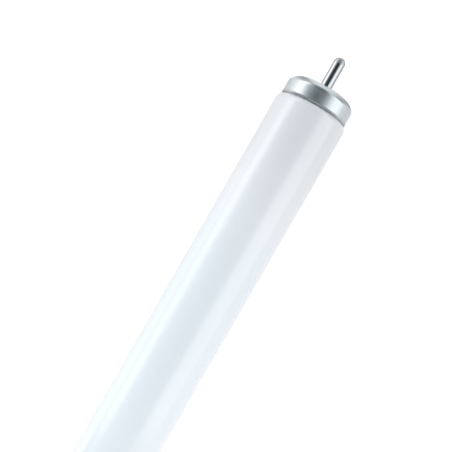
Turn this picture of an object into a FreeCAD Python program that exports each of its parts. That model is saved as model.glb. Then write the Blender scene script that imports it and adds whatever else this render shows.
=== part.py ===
import FreeCAD, Part
import math
import os

from FreeCAD import Vector

# Straight fluorescent tube, 38 mm in diameter, with one 6 mm contact pin at each end.
# The tube lies along X on the plane z = 0, with its middle over the origin.
# End "a" is at +X and end "b" at -X. Lengths are in millimetres.

# ---- whole lamp ----
R_GLASS = 19.0            # outer radius of the glass
FACE_TO_FACE = 574.0      # from one cap face to the other
PIN_OUT = 17.8            # how far each pin stands out of its cap face

# ---- end cap, drawn from thin aluminium sheet ----
CAP_H = 11.6              # from the lower edge to the end face
CAP_R = 17.65             # outer radius of the straight skirt
CAP_T = 0.40              # sheet thickness
SKIRT_H = 7.15            # lower edge to where the skirt bends in
BEND_R = 0.8              # outer radius of that bend
BEND_DEG = 21.0           # how far it turns before the domed top takes over
DOME_END_R = 10.0         # the dome runs flat into the end face here
LIP_H = 2.0               # low bead along the lower edge
LIP_TOP = 1.14            # from the edge to the bead's highest line
LIP_PROUD = 0.16          # how far the bead stands out of the skirt
LIP_IN = 0.13             # how far the edge is rolled in from the skirt
LIP_BEVEL = 0.16          # the inner side opens by this much at the edge
FACE_HOLE_R = 9.0         # hole in the end face, with a collar turned inwards
COLLAR_DEPTH = 1.6

# ---- insulating disc in the face ----
DISC_PROUD = 0.30         # its middle stands this much out of the cap face
DISC_FLANGE_R = 11.6      # the flange sits behind the collar
DISC_FLANGE_T = 1.4

# ---- contact pin, drawn hollow with a domed end ----
PIN_R = 3.0
PIN_WALL = 0.45
PIN_COLLAR_R = 4.2        # bead that sits on the disc
PIN_COLLAR_T = 0.5
PIN_RIVET_R = 4.4         # rolled over behind the disc
PIN_RIVET_T = 0.5
SOLDER_DEPTH = 4.6        # solder in the domed end, measured from the tip

# ---- glass ends ----
NECK_R = 16.7             # the end of the glass is drawn in to fit the cap
SHOULDER_START = 3.5      # the shoulder starts this far before the cap's edge
SHOULDER_R = 4.4          # convex arc of the shoulder
SHOULDER_DEG = 52.0
RIM_IN = 7.6              # from the cap's edge to the fused rim of the glass
RIM_R = 0.55              # half thickness of the fused rim
STEM_R = 4.8              # air-side radius of the stem tube
FLARE_R = 10.6            # arc of the stem's flare
PRESS_DEPTH = 18.0        # from the rim to the flat press at the stem's bottom
EXHAUST_R = 2.2           # sealed stub of the exhaust tube
EXHAUST_L = 12.5

# ---- cement and wires ----
CEMENT_START = 1.4        # from the cap's edge
CEMENT_OVER_RIM = 0.9
WIRE_R = 0.30

X_FACE = FACE_TO_FACE / 2.0
X_SEAM = X_FACE - CAP_H
X_TIP = X_FACE + PIN_OUT
X_RIM = X_SEAM + RIM_IN
BORE_R = PIN_R - PIN_WALL
AXIS = Vector(0, 0, R_GLASS)
NODES = {}


def at(x, r):
    """A point of a section, x along the lamp and r out from its axis."""
    return Vector(x, 0, R_GLASS + r)


def line(a, b):
    return Part.LineSegment(at(*a), at(*b)).toShape()


def arc(a, m, b):
    return Part.Arc(at(*a), at(*m), at(*b)).toShape()


def arc_c(xc, rc, rad, deg0, deg1):
    """Arc about (xc, rc), angles from +X towards increasing radius."""
    def p(d):
        t = math.radians(d)
        return (xc + rad * math.cos(t), rc + rad * math.sin(t))
    return arc(p(deg0), p((deg0 + deg1) / 2.0), p(deg1))


def dome(depth):
    """The cap's domed top, depth inside its outer surface: the curve and its two ends.
    It leaves the bend at the bend's slope and is an arc of an ellipse down to the face."""
    k = math.radians(BEND_DEG)
    x0 = X_SEAM + SKIRT_H + BEND_R * math.sin(k)
    r0 = CAP_R - BEND_R * (1 - math.cos(k))
    high, long = r0 - DOME_END_R, X_FACE - x0
    q = math.tan(k) * long / high
    u = q / (1 - q)
    b, a = high / math.sqrt(1 - u * u), long / (1 - u)
    pts = []
    for i in range(17):
        t = math.asin(u) + (math.pi / 2 - math.asin(u)) * i / 16.0
        nx, nr = math.sin(t) / a, math.cos(t) / b
        n = math.hypot(nx, nr)
        pts.append((X_FACE - a + a * math.sin(t) - depth * nx / n, DOME_END_R + b * math.cos(t) - depth * nr / n))
    c = Part.BSplineCurve()
    c.interpolate(Points=[at(*p) for p in pts], InitialTangent=Vector(math.cos(k), 0, -math.sin(k)),
                  FinalTangent=Vector(0, 0, -1))
    return c.toShape(), pts[0], pts[-1]


def bend(depth):
    """The small bend between the skirt and the dome, depth inside the outer surface."""
    return arc_c(X_SEAM + SKIRT_H, CAP_R - BEND_R, BEND_R - depth, 90, 90 - BEND_DEG)


def polyline(points):
    return [line(points[i], points[i + 1]) for i in range(len(points) - 1)]


def revolve(edges):
    """Turn a closed section about the lamp's axis into one solid."""
    wire = Part.Wire(Part.__sortEdges__(edges))
    solid = Part.Face(wire).revolve(AXIS, Vector(1, 0, 0), 360)
    if solid.ShapeType != "Solid":
        solid = solid.Solids[0]
    if solid.Volume < 0:
        solid.reverse()
    return solid


def other_end(shape):
    """The same piece at the -X end, turned half a turn about Z."""
    s = shape.copy()
    s.rotate(Vector(0, 0, 0), Vector(0, 0, 1), 180)
    return s


# ------------------------------------------------------------------ glass
def shoulder():
    """Section of one end: shoulder, neck and fused rim, as edges and end points."""
    t = math.radians(SHOULDER_DEG)
    x0 = X_SEAM - SHOULDER_START
    x1 = x0 + SHOULDER_R * math.sin(t)
    r1 = R_GLASS - SHOULDER_R * (1 - math.cos(t))
    r_n = (r1 - NECK_R) / (1 - math.cos(t))
    x2 = x1 + r_n * math.sin(t)
    e = [arc_c(x0, R_GLASS - SHOULDER_R, SHOULDER_R, 90, 90 - SHOULDER_DEG),
         arc_c(x2, NECK_R + r_n, r_n, 270 - SHOULDER_DEG, 270),
         line((x2, NECK_R), (X_RIM - RIM_R, NECK_R)),
         arc_c(X_RIM - RIM_R, NECK_R - RIM_R, RIM_R, 90, -90)]
    return e, x0


def half_glass():
    """Section of half the sealed bulb, from its middle to the rim, with the stem's hollow."""
    e, x0 = shoulder()
    r_in = NECK_R - 2 * RIM_R
    x_in = X_RIM - RIM_R
    # the flare leaves the rim and narrows into the stem tube
    xc = x_in - FLARE_R * math.cos(math.radians(12)) - 0.9
    rc = STEM_R + FLARE_R
    a1 = (xc + FLARE_R * math.cos(math.radians(12)), rc - FLARE_R * math.sin(math.radians(12)))
    x_press = X_RIM - PRESS_DEPTH
    x_tip = x_press + EXHAUST_L
    cone, nose = 2.4, 1.0
    e += [line((0, 0), (0, R_GLASS)),
          line((0, R_GLASS), (x0, R_GLASS)),
          line((x_in, r_in), a1),
          arc_c(xc, rc, FLARE_R, -12, -90),
          line((xc, STEM_R), (x_press, STEM_R)),
          line((x_press, STEM_R), (x_press, EXHAUST_R)),
          line((x_press, EXHAUST_R), (x_tip - cone, EXHAUST_R)),
          line((x_tip - cone, EXHAUST_R), (x_tip - nose, nose)),
          arc_c(x_tip - nose, 0, nose, 90, 0),
          line((x_tip, 0.0), (0, 0))]
    return Part.Face(Part.Wire(Part.__sortEdges__(e)))


# The section is turned a quarter at a time, so that every face ends at the top, the
# bottom and both sides of the tube.
section = half_glass()
quarter = section.revolve(AXIS, Vector(1, 0, 0), 90)
wedges = []
for k in range(4):
    w = quarter.copy()
    w.rotate(AXIS, Vector(1, 0, 0), 90 * k)
    wedges += [w, other_end(w)]
glass = wedges[0].multiFuse(wedges[1:])
if glass.ShapeType != "Solid":
    glass = glass.Solids[0]
if glass.Volume < 0:
    glass.reverse()
NODES["glass_tube"] = glass


# ------------------------------------------------------------------ end cap
x_c = X_SEAM + SKIRT_H
dome_out, _, out_end = dome(0.0)
dome_in, _, in_end = dome(CAP_T)
cap_edges = (
    polyline([(X_SEAM, CAP_R - LIP_IN), (X_SEAM + LIP_TOP, CAP_R + LIP_PROUD),
              (X_SEAM + LIP_H, CAP_R), (x_c, CAP_R)])
    + [bend(0.0), dome_out]
    + polyline([out_end, (X_FACE, FACE_HOLE_R),
                (X_FACE - COLLAR_DEPTH, FACE_HOLE_R),
                (X_FACE - COLLAR_DEPTH, FACE_HOLE_R + CAP_T),
                (X_FACE - CAP_T, FACE_HOLE_R + CAP_T), in_end])
    + [dome_in, bend(CAP_T)]
    + polyline([(x_c, CAP_R - CAP_T), (X_SEAM + LIP_H, CAP_R - CAP_T),
                (X_SEAM, CAP_R - CAP_T + LIP_BEVEL), (X_SEAM, CAP_R - LIP_IN)]))
cap = revolve(cap_edges)


# ------------------------------------------------------------------ insulating disc
x_back = X_FACE - COLLAR_DEPTH - DISC_FLANGE_T
disc = revolve(polyline([
    (x_back, PIN_R), (x_back, DISC_FLANGE_R), (X_FACE - COLLAR_DEPTH, DISC_FLANGE_R),
    (X_FACE - COLLAR_DEPTH, FACE_HOLE_R), (X_FACE, FACE_HOLE_R),
    (X_FACE + DISC_PROUD, FACE_HOLE_R - 0.3), (X_FACE + DISC_PROUD, PIN_R), (x_back, PIN_R)]))


# ------------------------------------------------------------------ contact pin
x_bead = X_FACE + DISC_PROUD
x_dome = X_TIP - PIN_R
pin = revolve(
    polyline([(x_back - PIN_RIVET_T, BORE_R), (x_back - PIN_RIVET_T, PIN_RIVET_R),
              (x_back, PIN_RIVET_R), (x_back, PIN_R), (x_bead, PIN_R),
              (x_bead, PIN_COLLAR_R), (x_bead + PIN_COLLAR_T, PIN_COLLAR_R),
              (x_bead + PIN_COLLAR_T, PIN_R), (x_dome, PIN_R)])
    + [arc_c(x_dome, 0, PIN_R, 90, 0), line((X_TIP, 0), (X_TIP - PIN_WALL, 0)),
       arc_c(x_dome, 0, BORE_R, 0, 90), line((x_dome, BORE_R), (x_back - PIN_RIVET_T, BORE_R))])


# ------------------------------------------------------------------ lead wires
def wire_path(side):
    """Out of the press beside the exhaust stub, then in through the hollow pin."""
    x_press = X_RIM - PRESS_DEPTH
    pts = [(x_press, 3.45), (x_press + 11.5, 3.45), (x_back - 3.0 + 3.2, 0.95), (X_TIP - 2.4, 0.85)]
    v = [Vector(x, side * y, R_GLASS) for x, y in pts]
    edges, start = [], v[0]
    for i in (1, 2):
        a, b, c = v[i - 1], v[i], v[i + 1]
        da, dc = (a - b), (c - b)
        turn = math.pi - da.getAngle(dc)
        cut = 0.45 * min(da.Length, dc.Length)
        rad = min(cut / math.tan(turn / 2), 40.0)
        cut = rad * math.tan(turn / 2)
        p = b + da.normalize() * cut
        q = b + dc.normalize() * cut
        bis = (da + dc).normalize()
        mid = b + bis * (rad / math.cos(turn / 2) - rad)
        edges.append(Part.LineSegment(start, p).toShape())
        edges.append(Part.Arc(p, mid, q).toShape())
        start = q
    edges.append(Part.LineSegment(start, v[3]).toShape())
    return Part.Wire(edges), v[0]


def lead(side):
    path, start = wire_path(side)
    ring = Part.Wire(Part.Circle(start, Vector(1, 0, 0), WIRE_R).toShape())
    s = path.makePipeShell([ring], True, False)
    if s.ShapeType != "Solid":
        s = s.Solids[0]
    if s.Volume < 0:
        s.reverse()
    print("lead length %.1f, section x length %.3f, volume %.3f"
          % (path.Length, math.pi * WIRE_R ** 2 * path.Length, s.Volume))
    return s


lead_1, lead_2 = lead(1), lead(-1)


# ------------------------------------------------------------------ solder in the domed end
x_s = X_TIP - SOLDER_DEPTH
solder = revolve([line((x_s, 0), (x_s, BORE_R)), line((x_s, BORE_R), (x_dome, BORE_R)),
                  arc_c(x_dome, 0, BORE_R, 90, 0), line((X_TIP - PIN_WALL, 0), (x_s, 0))])
solder = solder.cut(lead_1).cut(lead_2).Solids[0]


# ------------------------------------------------------------------ cement ring
blank = revolve(polyline([
    (X_SEAM + CEMENT_START, 15.75), (X_SEAM + CEMENT_START, CAP_R - 0.1),
    (X_RIM + CEMENT_OVER_RIM, CAP_R - 0.1), (X_RIM + CEMENT_OVER_RIM, 15.75),
    (X_SEAM + CEMENT_START, 15.75)]))
core = revolve(
    polyline([(X_SEAM + CEMENT_START, 0), (X_SEAM + CEMENT_START, CAP_R - CAP_T), (x_c, CAP_R - CAP_T)])
    + [bend(CAP_T), dome_in]
    + polyline([in_end, (X_FACE - CAP_T, 0), (X_SEAM + CEMENT_START, 0)]))
cement = blank.common(core).cut(glass)
cement = max(cement.Solids, key=lambda s: s.Volume)


for name, shape in (("end_cap", cap), ("insulator_disc", disc), ("contact_pin", pin),
                    ("pin_solder", solder), ("cap_cement", cement),
                    ("lead_wire_1", lead_1), ("lead_wire_2", lead_2)):
    NODES[name + "_a"] = shape
    NODES[name + "_b"] = other_end(shape)

os.makedirs("parts", exist_ok=True)
for name, shape in NODES.items():
    ok = shape.isValid() and shape.isClosed() and len(shape.Solids) == 1
    bb = shape.BoundBox
    print("%-18s valid %s  vol %10.2f  x %.2f..%.2f  z %.2f..%.2f"
          % (name, ok, shape.Volume, bb.XMin, bb.XMax, bb.ZMin, bb.ZMax))
    shape.exportStep("parts/%s.step" % name)
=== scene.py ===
import math

import bmesh
import bpy
import numpy as np
from mathutils import Matrix, Vector

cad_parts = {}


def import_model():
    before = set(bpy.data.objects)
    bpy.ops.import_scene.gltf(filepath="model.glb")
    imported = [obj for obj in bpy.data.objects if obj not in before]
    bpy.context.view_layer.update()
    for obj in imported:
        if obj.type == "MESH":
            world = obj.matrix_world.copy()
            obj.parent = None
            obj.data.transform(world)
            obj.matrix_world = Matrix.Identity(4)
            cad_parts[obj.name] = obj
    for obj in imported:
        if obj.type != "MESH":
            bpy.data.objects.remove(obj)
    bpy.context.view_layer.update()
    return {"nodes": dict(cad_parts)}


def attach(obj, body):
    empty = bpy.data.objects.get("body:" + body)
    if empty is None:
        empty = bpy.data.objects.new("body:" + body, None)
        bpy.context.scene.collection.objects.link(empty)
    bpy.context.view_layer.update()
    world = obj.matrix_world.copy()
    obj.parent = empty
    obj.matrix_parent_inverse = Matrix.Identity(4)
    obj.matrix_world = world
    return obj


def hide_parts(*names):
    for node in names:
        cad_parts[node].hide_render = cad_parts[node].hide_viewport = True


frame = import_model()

# A straight fluorescent tube that lies along X. Sections are given in millimetres, as
# (x, r) with r from the tube's axis, and meshes are made in metres.
R0 = 19.0
X_FACE = 287.0
X_SEAM = 275.4
X_TIP = 304.8
X_RIM = 283.0
NODES = frame["nodes"]
scene = bpy.context.scene


# ------------------------------------------------------------------ sections
def arc(xc, rc, ax, rad, d0, d1, n):
    """Points of an ellipse about (xc, rc), angles in degrees from +X towards +r."""
    t = np.radians(np.linspace(d0, d1, n))
    return [(xc + ax * math.cos(a), rc + rad * math.sin(a)) for a in t]


def run(a, b, n):
    """Points from a to b, both ends included."""
    return [(a[0] + (b[0] - a[0]) * i / (n - 1), a[1] + (b[1] - a[1]) * i / (n - 1)) for i in range(n)]


def smooth(points, n):
    """A smooth curve through the points, by arc length, for small rolled shapes."""
    p = np.array(points, float)
    m = len(p)
    tan = np.zeros_like(p)
    tan[1:-1] = (p[2:] - p[:-2]) / 2
    tan[0], tan[-1] = p[1] - p[0], p[-1] - p[-2]
    out = []
    for i in range(m - 1):
        for k in range(n):
            t = k / n
            h = (2 * t ** 3 - 3 * t ** 2 + 1, t ** 3 - 2 * t ** 2 + t, -2 * t ** 3 + 3 * t ** 2, t ** 3 - t ** 2)
            q = h[0] * p[i] + h[1] * tan[i] + h[2] * p[i + 1] + h[3] * tan[i + 1]
            out.append((float(q[0]), float(q[1])))
    out.append((float(p[-1][0]), float(p[-1][1])))
    return out


def tidy(points, gap=0.004):
    out = [points[0]]
    for p in points[1:]:
        if math.hypot(p[0] - out[-1][0], p[1] - out[-1][1]) > gap:
            out.append(p)
    return out


def turned(name, section, segments, closed, sharp=40.0, wobble=None, flip=False):
    """Turns a section about the tube's axis. closed joins its last point to its first; an
    open one starts and ends on the axis. flip makes the same piece for the -X end."""
    pts = tidy(section)
    if closed and math.hypot(pts[0][0] - pts[-1][0], pts[0][1] - pts[-1][1]) < 0.004:
        pts = pts[:-1]
    verts, rings = [], []
    for x, r in pts:
        if r < 1e-6:
            rings.append([len(verts)])
            verts.append((x, 0.0, 0.0))
            continue
        ring = []
        for k in range(segments):
            a = 2 * math.pi * k / segments
            rr = r - (wobble(x, a, r) if wobble else 0.0)
            ring.append(len(verts))
            verts.append((x, rr * math.cos(a), rr * math.sin(a)))
        rings.append(ring)
    faces = []
    pairs = list(zip(rings, rings[1:])) + ([(rings[-1], rings[0])] if closed else [])
    for lo, hi in pairs:
        if len(lo) == 1 and len(hi) == 1:
            continue
        for k in range(segments):
            j = (k + 1) % segments
            if len(lo) == 1:
                faces.append((lo[0], hi[k], hi[j]))
            elif len(hi) == 1:
                faces.append((lo[k], hi[0], lo[j]))
            else:
                faces.append((lo[k], hi[k], hi[j], lo[j]))
    co = np.array(verts)
    if flip:
        co[:, 0] *= -1
        co[:, 1] *= -1
    co[:, 2] += R0
    co /= 1000.0
    me = bpy.data.meshes.new(name)
    me.from_pydata(co.tolist(), [], faces)
    me.validate()
    vol = 0.0
    for p in me.polygons:
        v = [me.vertices[i].co for i in p.vertices]
        for i in range(1, len(v) - 1):
            vol += v[0].dot(v[i].cross(v[i + 1]))
    if vol < 0:
        me.flip_normals()
    me.polygons.foreach_set("use_smooth", [True] * len(me.polygons))
    me.update()
    me.set_sharp_from_angle(angle=math.radians(sharp))
    ob = bpy.data.objects.new(name, me)
    scene.collection.objects.link(ob)
    return ob


def add(ob, node, mat):
    ob.data.materials.append(mat)
    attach(ob, "root")
    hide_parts(node)
    return ob


# ------------------------------------------------------------------ materials
class Mat:
    """Small helper for node trees."""

    def __init__(self, name):
        self.m = bpy.data.materials.new(name)
        self.m.use_nodes = True
        self.t = self.m.node_tree
        self.bsdf = next(n for n in self.t.nodes if n.type == "BSDF_PRINCIPLED")
        self.out = next(n for n in self.t.nodes if n.type == "OUTPUT_MATERIAL")
        self.coord = self.new("ShaderNodeTexCoord")

    def new(self, kind, **props):
        n = self.t.nodes.new(kind)
        for k, v in props.items():
            setattr(n, k, v)
        return n

    def link(self, a, b):
        self.t.links.new(a, b)

    def math(self, op, a, b=None, c=None, clamp=False):
        n = self.new("ShaderNodeMath", operation=op, use_clamp=clamp)
        for i, v in enumerate((a, b, c)):
            if v is None:
                continue
            if isinstance(v, (int, float)):
                n.inputs[i].default_value = v
            else:
                self.link(v, n.inputs[i])
        return n.outputs[0]

    def axes(self):
        """(x, r, turn) of a surface point: along the tube, from its axis, and round it."""
        s = self.new("ShaderNodeSeparateXYZ")
        self.link(self.coord.outputs["Object"], s.inputs[0])
        z = self.math("SUBTRACT", s.outputs[2], R0 / 1000.0)
        yy = self.math("MULTIPLY", s.outputs[1], s.outputs[1])
        zz = self.math("MULTIPLY", z, z)
        r = self.math("SQRT", self.math("ADD", yy, zz))
        turn = self.math("ARCTAN2", z, s.outputs[1])
        return s.outputs[0], r, turn, s.outputs[1], z

    def combine(self, a, b, c):
        n = self.new("ShaderNodeCombineXYZ")
        for i, v in enumerate((a, b, c)):
            if isinstance(v, (int, float)):
                n.inputs[i].default_value = v
            else:
                self.link(v, n.inputs[i])
        return n.outputs[0]

    def noise(self, vec, scale, detail=3.0, rough=0.5):
        n = self.new("ShaderNodeTexNoise")
        n.inputs["Scale"].default_value = scale
        n.inputs["Detail"].default_value = detail
        n.inputs["Roughness"].default_value = rough
        self.link(vec, n.inputs["Vector"])
        return n.outputs["Fac"]

    def span(self, v, a, b, lo, hi, smooth=False):
        n = self.new("ShaderNodeMapRange")
        n.interpolation_type = "SMOOTHSTEP" if smooth else "LINEAR"
        self.link(v, n.inputs["Value"])
        for k, x in (("From Min", a), ("From Max", b), ("To Min", lo), ("To Max", hi)):
            n.inputs[k].default_value = x
        return n.outputs["Result"]

    def mix(self, f, a, b):
        n = self.new("ShaderNodeMix", data_type="RGBA")
        if isinstance(f, (int, float)):
            n.inputs["Factor"].default_value = f
        else:
            self.link(f, n.inputs["Factor"])
        for v, i in ((a, 6), (b, 7)):
            if isinstance(v, tuple):
                n.inputs[i].default_value = (*v, 1.0)
            else:
                self.link(v, n.inputs[i])
        return n.outputs[2]

    def shade(self, colour, f, green=None, blue=None):
        """The colour, times a value, or times one value for each of red, green and blue."""
        n = self.new("ShaderNodeMix", data_type="RGBA", blend_type="MULTIPLY")
        n.inputs["Factor"].default_value = 1.0
        self.link(colour, n.inputs[6])
        self.link(self.combine(f, f if green is None else green, f if blue is None else blue), n.inputs[7])
        return n.outputs[2]

    def bump(self, height, strength, distance, normal=None):
        n = self.new("ShaderNodeBump")
        n.inputs["Strength"].default_value = strength
        n.inputs["Distance"].default_value = distance
        self.link(height, n.inputs["Height"])
        if normal is not None:
            self.link(normal, n.inputs["Normal"])
        return n.outputs[0]

    def set(self, **values):
        for k, v in values.items():
            s = self.bsdf.inputs[k.replace("_", " ")]
            if isinstance(v, (int, float)):
                s.default_value = v
            elif isinstance(v, tuple):
                s.default_value = (*v, 1.0)
            else:
                self.link(v, s)


def coated_glass():
    """Clear polished glass over an opaque white powder coat."""
    k = Mat("coated_glass")
    x, r, turn, y, z = k.axes()
    # cloudy differences in the powder's thickness, drawn out along the tube
    flow = k.combine(k.math("MULTIPLY", x, 6.0), k.math("MULTIPLY", y, 30.0), k.math("MULTIPLY", z, 30.0))
    cloud = k.span(k.noise(flow, 1.6, 4.0, 0.55), 0.3, 0.7, 0.0, 1.0)
    grain = k.span(k.noise(k.coord.outputs["Object"], 900.0, 2.0), 0.3, 0.7, 0.0, 1.0)
    tone = k.math("ADD", k.math("MULTIPLY", cloud, 0.7), k.math("MULTIPLY", grain, 0.3))
    body = k.mix(tone, (0.697, 0.739, 0.765), (0.727, 0.769, 0.795))
    # the powder is a little warmer towards the cathodes
    body = k.shade(body, k.span(k.math("ABSOLUTE", x), 0.180, 0.230, 1.0, 1.03, smooth=True), 1.0, 1.0)
    # painted shade: darker towards the cathodes, where less light reaches the tube near the caps
    body = k.shade(body, k.span(k.math("ABSOLUTE", x), 0.205, 0.264, 1.0, 0.925, smooth=True))
    # painted light: lighter on the shoulder, to lift the shade that the cap and the dark front throw there
    body = k.shade(body, k.span(k.math("ABSOLUTE", x), (X_SEAM - 3.8) / 1000, (X_SEAM - 0.3) / 1000, 1.0, 1.20, smooth=True))
    k.set(Base_Color=body, Roughness=0.95, Specular_IOR_Level=0.0)
    k.set(Coat_Weight=1.0, Coat_Roughness=0.03, Coat_IOR=1.86)
    # faint draw lines of the glass
    lines = k.noise(k.combine(k.math("MULTIPLY", x, 1.5), k.math("MULTIPLY", y, 90.0), k.math("MULTIPLY", z, 90.0)), 2.0, 2.0)
    n = k.bump(lines, 0.05, 0.0004)
    k.link(n, k.bsdf.inputs["Coat Normal"])
    return k.m


def cap_metal():
    """Drawn aluminium: satin, with fine lines round it."""
    k = Mat("cap_aluminium")
    x, r, turn, y, z = k.axes()
    along = k.math("ADD", k.math("ABSOLUTE", x), k.math("MULTIPLY", r, -1.0))
    line_v = k.combine(k.math("MULTIPLY", along, 5200.0), k.math("MULTIPLY", k.math("SINE", turn), 1.3), k.math("MULTIPLY", k.math("COSINE", turn), 1.3))
    lines = k.noise(line_v, 1.0, 3.0, 0.6)
    mottle = k.noise(k.coord.outputs["Object"], 260.0, 4.0, 0.6)
    fine = k.noise(k.coord.outputs["Object"], 2600.0, 2.0, 0.5)
    col = k.mix(k.span(mottle, 0.3, 0.7, 0.0, 1.0), (0.64, 0.685, 0.71), (0.70, 0.745, 0.765))
    col = k.mix(k.span(lines, 0.35, 0.65, 0.0, 0.25), col, (0.76, 0.80, 0.81))
    rough = k.math("ADD", k.span(mottle, 0.3, 0.7, 0.315, 0.375), k.span(lines, 0.3, 0.7, -0.02, 0.03))
    # the bend and the domed top are burnished a little by the die
    rough = k.math("ADD", rough, k.span(k.math("ABSOLUTE", x), (X_SEAM + 6.9) / 1000, (X_SEAM + 7.5) / 1000, 0.0, -0.115, smooth=True))
    # painted shade: the rolled edge is darker over its last millimetre or so, fading out by two millimetres, for the
    # dark gap between the cap and the glass
    edge = k.math("SUBTRACT", k.math("ABSOLUTE", x), X_SEAM / 1000)
    seam_shade = k.span(k.math("ADD", edge, k.span(mottle, 0.3, 0.7, -0.00012, 0.00012)), 0.0001, 0.0009, 0.57, 0.82, smooth=True)
    col = k.shade(col, seam_shade)
    col = k.shade(col, k.span(edge, 0.0009, 0.0018, 1.0, 1.22, smooth=True))
    k.set(Base_Color=col, Metallic=0.90, Roughness=rough)
    # the roller left the bead's outer side a little steeper than its mean shape
    steep = k.math("MULTIPLY", k.span(edge, 0.0002, 0.0010, 0.08, 0.45, smooth=True), k.span(edge, 0.00125, 0.00165, 1.0, 0.0, smooth=True))
    steep = k.math("MULTIPLY", steep, k.math("GREATER_THAN", edge, 0.0))
    geo = k.new("ShaderNodeNewGeometry")
    tilt = k.new("ShaderNodeVectorMath", operation="ADD")
    k.link(geo.outputs["Normal"], tilt.inputs[0])
    k.link(k.combine(k.math("MULTIPLY", steep, k.math("MULTIPLY", k.math("SIGN", x), -1.0)), 0.0, 0.0), tilt.inputs[1])
    unit = k.new("ShaderNodeVectorMath", operation="NORMALIZE")
    k.link(tilt.outputs[0], unit.inputs[0])
    n = k.bump(lines, 0.10, 0.00006, unit.outputs[0])
    n = k.bump(fine, 0.05, 0.00004, n)
    k.link(n, k.bsdf.inputs["Normal"])
    return k.m


def pin_metal():
    """Bright nickel plate."""
    k = Mat("pin_nickel")
    x, r, turn, y, z = k.axes()
    mottle = k.noise(k.coord.outputs["Object"], 400.0, 3.0, 0.5)
    scr = k.noise(k.combine(k.math("MULTIPLY", x, 120.0), k.math("MULTIPLY", y, 2400.0), k.math("MULTIPLY", z, 2400.0)), 1.0, 2.0)
    col = k.mix(k.span(mottle, 0.3, 0.7, 0.0, 1.0), (0.55, 0.57, 0.58), (0.60, 0.62, 0.63))
    rough = k.math("ADD", k.span(mottle, 0.3, 0.7, 0.06, 0.10), k.span(scr, 0.4, 0.7, 0.0, 0.05))
    # the drawn dome is duller than the straight pin
    worn = k.span(k.math("ABSOLUTE", x), (X_TIP - 4.4) / 1000, (X_TIP - 3.0) / 1000, 0.0, 0.40, smooth=True)
    rough = k.math("ADD", rough, worn)
    k.set(Base_Color=col, Metallic=1.0, Roughness=rough)
    k.link(k.bump(scr, 0.06, 0.00003), k.bsdf.inputs["Normal"])
    return k.m


def phenolic():
    """Moulded phenolic disc, brown with fine filler."""
    k = Mat("insulator_phenolic")
    speck = k.noise(k.coord.outputs["Object"], 1900.0, 3.0, 0.7)
    cloud = k.noise(k.coord.outputs["Object"], 220.0, 3.0, 0.5)
    col = k.mix(k.span(cloud, 0.3, 0.7, 0.0, 1.0), (0.040, 0.022, 0.014), (0.062, 0.036, 0.022))
    col = k.mix(k.span(speck, 0.58, 0.72, 0.0, 0.5), col, (0.13, 0.085, 0.055))
    k.set(Base_Color=col, Roughness=k.span(cloud, 0.3, 0.7, 0.38, 0.5))
    k.link(k.bump(speck, 0.12, 0.00008), k.bsdf.inputs["Normal"])
    return k.m


def cement():
    """Baked basing cement."""
    k = Mat("basing_cement")
    g = k.noise(k.coord.outputs["Object"], 1400.0, 4.0, 0.7)
    c = k.noise(k.coord.outputs["Object"], 300.0, 3.0, 0.5)
    col = k.mix(k.span(g, 0.3, 0.7, 0.0, 1.0), (0.13, 0.11, 0.085), (0.26, 0.23, 0.19))
    k.set(Base_Color=col, Roughness=k.span(c, 0.3, 0.7, 0.8, 0.95))
    k.link(k.bump(g, 0.5, 0.0002), k.bsdf.inputs["Normal"])
    return k.m


def solder():
    k = Mat("tin_solder")
    g = k.noise(k.coord.outputs["Object"], 700.0, 4.0, 0.6)
    col = k.mix(k.span(g, 0.3, 0.7, 0.0, 1.0), (0.34, 0.345, 0.35), (0.52, 0.525, 0.53))
    k.set(Base_Color=col, Metallic=1.0, Roughness=k.span(g, 0.3, 0.7, 0.28, 0.5))
    k.link(k.bump(g, 0.3, 0.0001), k.bsdf.inputs["Normal"])
    return k.m


def wire():
    k = Mat("nickel_wire")
    g = k.noise(k.coord.outputs["Object"], 1500.0, 3.0, 0.6)
    col = k.mix(k.span(g, 0.3, 0.7, 0.0, 1.0), (0.42, 0.39, 0.35), (0.56, 0.53, 0.49))
    k.set(Base_Color=col, Metallic=1.0, Roughness=k.span(g, 0.3, 0.7, 0.25, 0.4))
    k.link(k.bump(g, 0.15, 0.00004), k.bsdf.inputs["Normal"])
    return k.m


GLASS, CAP, PIN, DISC = coated_glass(), cap_metal(), pin_metal(), phenolic()
CEMENT, SOLDER, WIRE = cement(), solder(), wire()


# ------------------------------------------------------------------ glass
def glass_end():
    """Section from the straight glass out to the rim and down the stem to the axis."""
    t = math.radians(52.0)
    x0 = X_SEAM - 3.5
    x1 = x0 + 4.4 * math.sin(t)
    r1 = R0 - 4.4 * (1 - math.cos(t))
    rn = (r1 - 16.7) / (1 - math.cos(t))
    x2 = x1 + rn * math.sin(t)
    s = arc(x0, R0 - 4.4, 4.4, 4.4, 90, 38, 22)
    s += arc(x2, 16.7 + rn, rn, rn, 218, 270, 10)
    s += run((x2, 16.7), (X_RIM - 0.55, 16.7), 6)
    s += arc(X_RIM - 0.55, 16.15, 0.55, 0.55, 90, -90, 13)
    x_in = X_RIM - 0.55
    c12, s12 = math.cos(math.radians(12)), math.sin(math.radians(12))
    xc = x_in - 10.6 * c12 - 0.9
    s += arc(xc, 15.4, 10.6, 10.6, -12, -90, 24)
    xp = X_RIM - 18.0
    s += run((xc, 4.8), (xp + 0.4, 4.8), 5)
    s += arc(xp + 0.4, 4.4, 0.4, 0.4, 90, 180, 5)
    s += arc(xp + 0.3, 2.5, 0.3, 0.3, 180, 270, 5)
    xt = xp + 12.5
    s += run((xp + 0.5, 2.2), (xt - 2.4, 2.2), 6)
    s += smooth([(xt - 2.4, 2.2), (xt - 1.6, 1.75), (xt - 0.8, 0.95), (xt - 0.2, 0.5), (xt, 0.0)], 5)
    s[-1] = (xt, 0.0)
    return s


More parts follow.
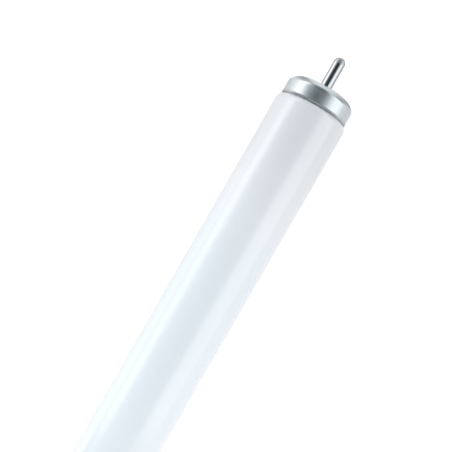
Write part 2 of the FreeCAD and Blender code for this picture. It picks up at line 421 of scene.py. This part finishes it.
def glass_wobble(x, a, r):
    """Drawn glass is a few hundredths of a millimetre out of true; never proud of it."""
    if r < 16.0:
        return 0.0
    w = 0.5 + 0.25 * math.sin(2 * a + 0.6 + x * 0.004) + 0.15 * math.sin(3 * a + 1.9 - x * 0.007) + 0.10 * math.sin(x * 0.05 + a)
    return 0.012 * w


end = glass_end()
middle = run((-(X_SEAM - 3.5), R0), (X_SEAM - 3.5, R0), 121)
whole = [(-x, r) for x, r in reversed(end)] + middle[1:-1] + end
tube = turned("glass_tube_bulb", whole, 192, False, sharp=50.0, wobble=glass_wobble)
add(tube, "glass_tube", GLASS)


# ------------------------------------------------------------------ caps
BEND_X, BEND_R, BEND_DEG, DOME_END_R, SKIRT_R = 7.15, 0.8, 21.0, 10.0, 17.65


def dome(depth, n):
    """The domed top from the bend to the end face, depth inside its outer surface."""
    k = math.radians(BEND_DEG)
    x0 = X_SEAM + BEND_X + BEND_R * math.sin(k)
    r0 = SKIRT_R - BEND_R * (1 - math.cos(k))
    high, long = r0 - DOME_END_R, X_FACE - x0
    q = math.tan(k) * long / high
    u = q / (1 - q)
    b, a = high / math.sqrt(1 - u * u), long / (1 - u)
    out = []
    for t in np.linspace(math.asin(u), math.pi / 2, n):
        nx, nr = math.sin(t) / a, math.cos(t) / b
        m = math.hypot(nx, nr)
        out.append((X_FACE - a + a * math.sin(t) - depth * nx / m, DOME_END_R + b * math.cos(t) - depth * nr / m))
    return out


def bend(depth, n):
    """The small bend between the straight skirt and the dome."""
    r = BEND_R - depth
    return arc(X_SEAM + BEND_X, SKIRT_R - BEND_R, r, r, 90, 90 - BEND_DEG, n)


def cap_section():
    # rolled edge with a low bead, then the straight skirt
    s = smooth([(0.03, 17.45), (0.00, 17.49), (0.02, 17.53), (0.12, 17.575), (0.32, 17.64), (0.55, 17.71),
                (0.78, 17.765), (0.98, 17.795), (1.14, 17.803), (1.30, 17.793), (1.48, 17.757), (1.66, 17.71),
                (1.82, 17.674), (2.00, 17.655), (2.20, 17.65)], 4)
    s = [(X_SEAM + x, r) for x, r in s]
    s += run((X_SEAM + 2.3, 17.65), (X_SEAM + BEND_X, 17.65), 12)
    s += bend(0.0, 10)
    s += dome(0.0, 44)
    s += run((X_FACE, DOME_END_R), (X_FACE, 9.35), 4)
    s += arc(X_FACE - 0.35, 9.35, 0.35, 0.35, 0, -90, 7)
    s += run((X_FACE - 0.4, 9.0), (X_FACE - 1.6, 9.0), 4)
    s += run((X_FACE - 1.6, 9.4), (X_FACE - 0.6, 9.4), 3)
    s += arc(X_FACE - 0.6, 9.6, 0.2, 0.2, 270, 360, 5)
    s += list(reversed(dome(0.4, 24)))
    s += list(reversed(bend(0.4, 6)))
    s += run((X_SEAM + BEND_X, 17.25), (X_SEAM + 1.3, 17.25), 5)
    s += run((X_SEAM + 1.2, 17.26), (X_SEAM + 0.12, 17.40), 4)
    return s


for side, flip in (("a", False), ("b", True)):
    cap = turned("end_cap_" + side + "_shell", cap_section(), 256, True, sharp=55.0, flip=flip)
    add(cap, "end_cap_" + side, CAP)


# ------------------------------------------------------------------ insulating discs
def disc_section():
    xb = X_FACE - 3.0
    xf = X_FACE + 0.3
    s = run((xb, 3.0), (xb, 11.45), 6)
    s += arc(xb + 0.15, 11.45, 0.15, 0.15, 180, 90, 4)
    s += run((xb + 0.2, 11.6), (X_FACE - 1.62, 11.6), 3)
    s += run((X_FACE - 1.6, 11.58), (X_FACE - 1.6, 9.0), 4)
    s += run((X_FACE - 1.55, 9.0), (X_FACE - 0.05, 9.0), 3)
    s += arc(xf - 0.3, 8.7, 0.3, 0.3, 90, 0, 6)
    # shallow moulded ring in the face
    s += smooth([(xf, 8.6), (xf, 8.0), (xf - 0.03, 7.85), (xf - 0.18, 7.7), (xf - 0.2, 7.5), (xf - 0.2, 6.3),
                 (xf - 0.18, 6.1), (xf - 0.03, 5.95), (xf, 5.8), (xf, 5.0)], 3)
    s += run((xf, 4.9), (xf, 3.0), 5)
    return s


for side, flip in (("a", False), ("b", True)):
    disc = turned("insulator_disc_" + side + "_moulding", disc_section(), 128, True, sharp=40.0, flip=flip)
    add(disc, "insulator_disc_" + side, DISC)


# ------------------------------------------------------------------ pins
def pin_section():
    xb = X_FACE - 3.0
    xf = X_FACE + 0.3
    xd = X_TIP - 3.0
    s = run((xb - 0.5, 2.55), (xb - 0.5, 4.25), 4)
    s += arc(xb - 0.35, 4.25, 0.15, 0.15, 180, 90, 4)
    s += arc(xb - 0.15, 4.25, 0.15, 0.15, 90, 0, 4)
    s += run((xb, 4.2), (xb, 3.0), 3)
    s += run((xb + 0.1, 3.0), (xf, 3.0), 4)
    s += run((xf, 3.05), (xf, 4.0), 4)
    s += arc(xf + 0.25, 3.95, 0.25, 0.25, 180, 0, 12)
    s += arc(xf + 0.8, 3.25, 0.25, 0.25, 180, 270, 6)
    s += run((xf + 0.9, 3.0), (xd, 3.0), 24)
    s += arc(xd, 0, 3.0, 3.0, 90, 0, 32)
    s[-1] = (X_TIP, 0.0)
    return s


def pin_inner():
    xd = X_TIP - 3.0
    s = arc(xd, 0, 2.55, 2.55, 0, 90, 16)
    s[0] = (xd + 2.55, 0.0)
    s += run((xd, 2.55), (X_FACE - 3.5, 2.55), 8)
    return s


for side, flip in (("a", False), ("b", True)):
    # outside from the rivet to the tip, then back along the inside of the drawn pin
    outer = pin_section()
    inner = pin_inner()
    pin = turned("contact_pin_" + side + "_drawn", outer, 96, False, sharp=45.0, flip=flip)
    ins = turned("tmp_pin_bore", inner, 96, False, sharp=45.0, flip=flip)
    # one closed shell: the bore's faces look inwards, and the two meet at the rivet's rim
    bm = bmesh.new()
    bm.from_mesh(pin.data)
    bm.from_mesh(ins.data)
    bmesh.ops.remove_doubles(bm, verts=bm.verts, dist=1e-6)
    bmesh.ops.recalc_face_normals(bm, faces=bm.faces)
    bm.to_mesh(pin.data)
    bm.free()
    bpy.data.objects.remove(ins)
    pin.data.polygons.foreach_set("use_smooth", [True] * len(pin.data.polygons))
    pin.data.set_sharp_from_angle(angle=math.radians(45.0))
    add(pin, "contact_pin_" + side, PIN)


# ------------------------------------------------------------------ hidden pieces keep their solids
for name, ob in NODES.items():
    if ob.hide_render:
        continue
    mat = CEMENT if name.startswith("cap_cement") else SOLDER if name.startswith("pin_solder") else WIRE
    ob.data.materials.clear()
    ob.data.materials.append(mat)


# ------------------------------------------------------------------ floor, world and lights
class Tree:
    """Small helper for the node trees of the floor and the world."""

    def __init__(self, tree):
        self.t = tree
        tree.nodes.clear()

    def new(self, kind, **props):
        n = self.t.nodes.new(kind)
        for k, v in props.items():
            setattr(n, k, v)
        return n

    def math(self, op, *args):
        n = self.new("ShaderNodeMath", operation=op)
        for i, v in enumerate(args):
            if isinstance(v, (int, float)):
                n.inputs[i].default_value = v
            else:
                self.t.links.new(v, n.inputs[i])
        return n.outputs[0]

    def step(self, v, a, b, lo, hi):
        n = self.new("ShaderNodeMapRange", interpolation_type="SMOOTHSTEP")
        self.t.links.new(v, n.inputs["Value"])
        for k, x in (("From Min", a), ("From Max", b), ("To Min", lo), ("To Max", hi)):
            n.inputs[k].default_value = x
        return n.outputs["Result"]

    def curve(self, v, lo, hi, stops):
        """A value that follows the stops (position, value) as v goes from lo to hi."""
        m = self.new("ShaderNodeMapRange")
        self.t.links.new(v, m.inputs["Value"])
        m.inputs["From Min"].default_value, m.inputs["From Max"].default_value = lo, hi
        r = self.new("ShaderNodeValToRGB")
        r.color_ramp.interpolation = "LINEAR"
        e = r.color_ramp.elements
        while len(e) > 1:
            e.remove(e[-1])
        top = max(x[1] for x in stops)
        for i, (pos, val) in enumerate(stops):
            q = e[0] if i == 0 else e.new((pos - lo) / (hi - lo))
            q.position = (pos - lo) / (hi - lo)
            q.color = (val / top, val / top, val / top, 1)
        self.t.links.new(m.outputs[0], r.inputs["Fac"])
        return self.math("MULTIPLY", r.outputs["Color"], top)

    def blend(self, f, a, b):
        return self.math("ADD", self.math("MULTIPLY", a, self.math("SUBTRACT", 1.0, f)), self.math("MULTIPLY", b, f))


FLOOR_GREY = 0.26
# painted light: the table's glow across the tube, dimmer near it as painted shade
FLOOR_GLOW = [(-0.42, 0.66), (-0.22, 0.60), (-0.10, 0.57), (-0.055, 0.54), (-0.037, 0.66), (-0.02, 0.68), (0.01, 0.52), (0.05, 0.52), (0.07, 0.60), (0.11, 0.72),
              (0.22, 0.92), (0.42, 1.0)]      # across the tube, in metres
# painted light: the table's glow round the cap's end
FLOOR_AHEAD = [(-60, 0.80), (-50, 0.68), (-42, 0.42), (-37, 0.22), (-33, 0.14), (-27, 0.20), (-21, 0.42), (-14, 0.54),
               (-8, 0.66), (0, 0.72), (14, 0.76), (21, 0.62), (27, 0.24), (33, 0.14), (37, 0.22), (42, 0.44),
               (50, 0.72), (60, 0.85)]        # round the cap's end, in degrees
FLOOR_LEFT_BEHIND = 0.08            # how much brighter the table is away from the cap
FLOOR_SEEN = 0.90


def floor():
    """A white table that glows a little: painted light, dimmer near the tube as painted shade and brighter out towards
    the softboxes.
    """
    me = bpy.data.meshes.new("floor")
    s = 30.0
    me.from_pydata([(-s, -s, 0), (s, -s, 0), (s, s, 0), (-s, s, 0)], [], [(0, 1, 2, 3)])
    ob = bpy.data.objects.new("floor", me)
    scene.collection.objects.link(ob)
    m = bpy.data.materials.new("floor_white")
    m.use_nodes = True
    k = Tree(m.node_tree)
    out = k.new("ShaderNodeOutputMaterial")
    dif = k.new("ShaderNodeBsdfDiffuse")
    dif.inputs["Color"].default_value = (FLOOR_GREY, FLOOR_GREY, FLOOR_GREY, 1)
    co = k.new("ShaderNodeTexCoord")
    sep = k.new("ShaderNodeSeparateXYZ")
    k.t.links.new(co.outputs["Object"], sep.inputs[0])
    glow = k.curve(sep.outputs[1], -0.42, 0.42, FLOOR_GLOW)
    # painted light: more glow away from the cap; painted shade: less glow beyond the cap's end
    glow = k.math("ADD", glow, k.step(sep.outputs[0], 0.10, 0.25, FLOOR_LEFT_BEHIND, 0.0))
    glow = k.math("MULTIPLY", glow, k.step(sep.outputs[0], 0.279, 0.290, 1.0, 0.86))
    # painted light: in front of the cap the table's glow is a bright strip with a darker one on either side, for the
    # cap's end to mirror
    ahead = k.math("SUBTRACT", sep.outputs[0], 0.268)
    way = k.math("MULTIPLY", k.math("ARCTAN2", sep.outputs[1], ahead), 180 / math.pi)
    glow = k.blend(k.step(k.math("ABSOLUTE", way), 46, 58, 1, 0), glow, k.curve(way, -60, 60, FLOOR_AHEAD))
    # the table is white to the eye, and a little greyer in what it lights
    eye = k.new("ShaderNodeLightPath").outputs["Is Camera Ray"]
    glow = k.blend(eye, glow, FLOOR_SEEN)
    em = k.new("ShaderNodeEmission")
    em.inputs["Color"].default_value = (1, 1, 1, 1)
    k.t.links.new(glow, em.inputs["Strength"])
    both = k.new("ShaderNodeAddShader")
    k.t.links.new(dif.outputs[0], both.inputs[0])
    k.t.links.new(em.outputs[0], both.inputs[1])
    k.t.links.new(both.outputs[0], out.inputs["Surface"])
    me.materials.append(m)
    return ob


floor()


def world():
    """A tent of light: bright along both sides of the tube, dark overhead, dimmer at the ends."""
    w = bpy.data.worlds.new("tent")
    scene.world = w
    w.use_nodes = True
    k = Tree(w.node_tree)
    out = k.new("ShaderNodeOutputWorld")
    bg = k.new("ShaderNodeBackground")
    co = k.new("ShaderNodeTexCoord")
    sep = k.new("ShaderNodeSeparateXYZ")
    k.t.links.new(co.outputs["Generated"], sep.inputs[0])
    x, y, z = sep.outputs[0], sep.outputs[1], sep.outputs[2]
    # round the tube, in degrees: 0 straight up, 90 level on the +Y side
    turn = k.math("MULTIPLY", k.math("ARCTAN2", y, z), 180 / math.pi)
    # towards +X, in degrees
    lean = k.math("MULTIPLY", k.math("ARCSINE", x), 180 / math.pi)
    sides = k.curve(turn, -90, 90, TENT)
    # the +Y side is a little brighter towards +X
    sides = k.math("MULTIPLY", sides, k.blend(k.step(turn, 46, 56, 0, 1), 1.0, k.step(lean, -2, 7, 0.91, 1.08)))
    front = k.curve(turn, -90, 90, FRONT)
    back = k.curve(turn, -90, 90, [(-90, 1.3), (-50, 1.2), (0, 1.2), (50, 1.4), (90, 1.5)])
    # the horizon ahead is bright again, like the table below it
    front = k.blend(k.step(z, 0.04, 0.20, 1, 0), front, 0.95)
    v = k.blend(k.step(lean, 44, 60, 0, 1), sides, front)
    dim = k.curve(turn, -90, 90, [(-90, 0.25), (-45, 0.22), (-15, 0.09), (12, 0.09), (40, 0.22), (90, 0.25)])
    v = k.blend(k.step(lean, -22, -16, 1, 0), v, dim)
    v = k.blend(k.step(lean, -58, -46, 1, 0), v, back)
    # plain and pale to the eye, as the table is
    eye = k.new("ShaderNodeLightPath").outputs["Is Camera Ray"]
    v = k.blend(eye, v, 1.0)
    k.t.links.new(v, bg.inputs["Strength"])
    tint = k.new("ShaderNodeMix", data_type="RGBA")
    k.t.links.new(k.step(v, 0.1, 1.1, 0, 1), tint.inputs["Factor"])
    tint.inputs[6].default_value = (0.84, 1.0, 1.07, 1)
    tint.inputs[7].default_value = (0.985, 1.0, 1.01, 1)
    k.t.links.new(tint.outputs[2], bg.inputs["Color"])
    k.t.links.new(bg.outputs[0], out.inputs["Surface"])


TENT = [(-90, 1.50), (-80, 1.56), (-70, 1.58), (-57, 1.50), (-51, 1.42), (-46, 1.24), (-43, 1.05), (-40, 0.66), (-36, 0.44),
        (-30, 0.28), (-24, 0.17), (-16, 0.08), (-8, 0.045), (6, 0.045), (14, 0.075), (24, 0.16), (34, 0.34),
        (43, 0.54), (50, 0.98), (56, 1.60), (60, 1.95),
        (70, 1.98), (76, 1.85), (79, 1.30), (84, 1.22), (90, 1.12)]
FRONT = [(-90, 0.72), (-45, 0.64), (-30, 0.32), (-20, 0.17), (0, 0.13), (20, 0.15), (50, 0.26), (90, 0.50)]
world()


def softbox(name, centre, target, w, h, radiance, colour=(1.0, 1.0, 1.0)):
    """An area light of the given radiance that faces target, long side along X."""
    d = bpy.data.lights.new(name, "AREA")
    d.shape = "RECTANGLE"
    d.size, d.size_y = w, h
    d.energy = radiance * math.pi * w * h
    d.color = colour
    o = bpy.data.objects.new(name, d)
    scene.collection.objects.link(o)
    back = (Vector(centre) - Vector(target)).normalized()
    xa = Vector((1, 0, 0))
    xa = (xa - back * xa.dot(back)).normalized()
    ya = back.cross(xa)
    o.matrix_world = Matrix.Translation(centre) @ Matrix((xa, ya, back)).transposed().to_4x4()
    o.visible_camera = False
    o.visible_glossy = False
    return o


softbox("softbox_left", (-0.05, 0.46, 0.50), (0.05, 0.0, 0.03), 0.55, 0.75, 2.46, (0.98, 0.993, 1.022))
softbox("softbox_right", (-0.05, -0.386, 0.48), (0.06, 0.0, 0.02), 0.55, 0.70, 1.775, (0.995, 1.005, 1.03))


# ------------------------------------------------------------------ camera
def camera():
    """Nearly straight down on end a, with that end a little nearer than the rest."""
    W, H = 467.0, 452.0
    F, roll, lean, z = 751.0, math.radians(29.855), math.radians(1.01), 0.3707
    sx, sy = 311.91, 109.74                     # where the middle of the cap's edge shows
    side = math.radians(9.0)                    # how far the camera stands to the -Y side
    d = Vector((1, 0, 0))
    top = Vector((0, -math.sin(side), math.cos(side)))
    b = top * math.cos(lean) + d * math.sin(lean)
    e1 = d * math.cos(lean) - top * math.sin(lean)
    e2 = b.cross(e1)
    r = e1 * math.sin(roll) - e2 * math.cos(roll)
    up = e1 * math.cos(roll) + e2 * math.sin(roll)
    p = Vector((X_SEAM / 1000.0, 0, R0 / 1000.0))
    sx, sy = sx + 0.5, sy + 0.5                 # from the middle of a pixel to its corner
    c = p - r * ((sx - W / 2) * z / F) - up * ((H / 2 - sy) * z / F) + b * z
    cam = bpy.data.cameras.new("camera")
    cam.sensor_width = 36.0
    cam.sensor_fit = "HORIZONTAL"
    cam.lens = 36.0 * F / W
    cam.clip_start, cam.clip_end = 0.01, 100.0
    o = bpy.data.objects.new("camera", cam)
    scene.collection.objects.link(o)
    o.matrix_world = Matrix.Translation(c) @ Matrix((r, up, b)).transposed().to_4x4()
    scene.camera = o


camera()
scene.view_settings.view_transform = "Standard"
scene.view_settings.look = "None"
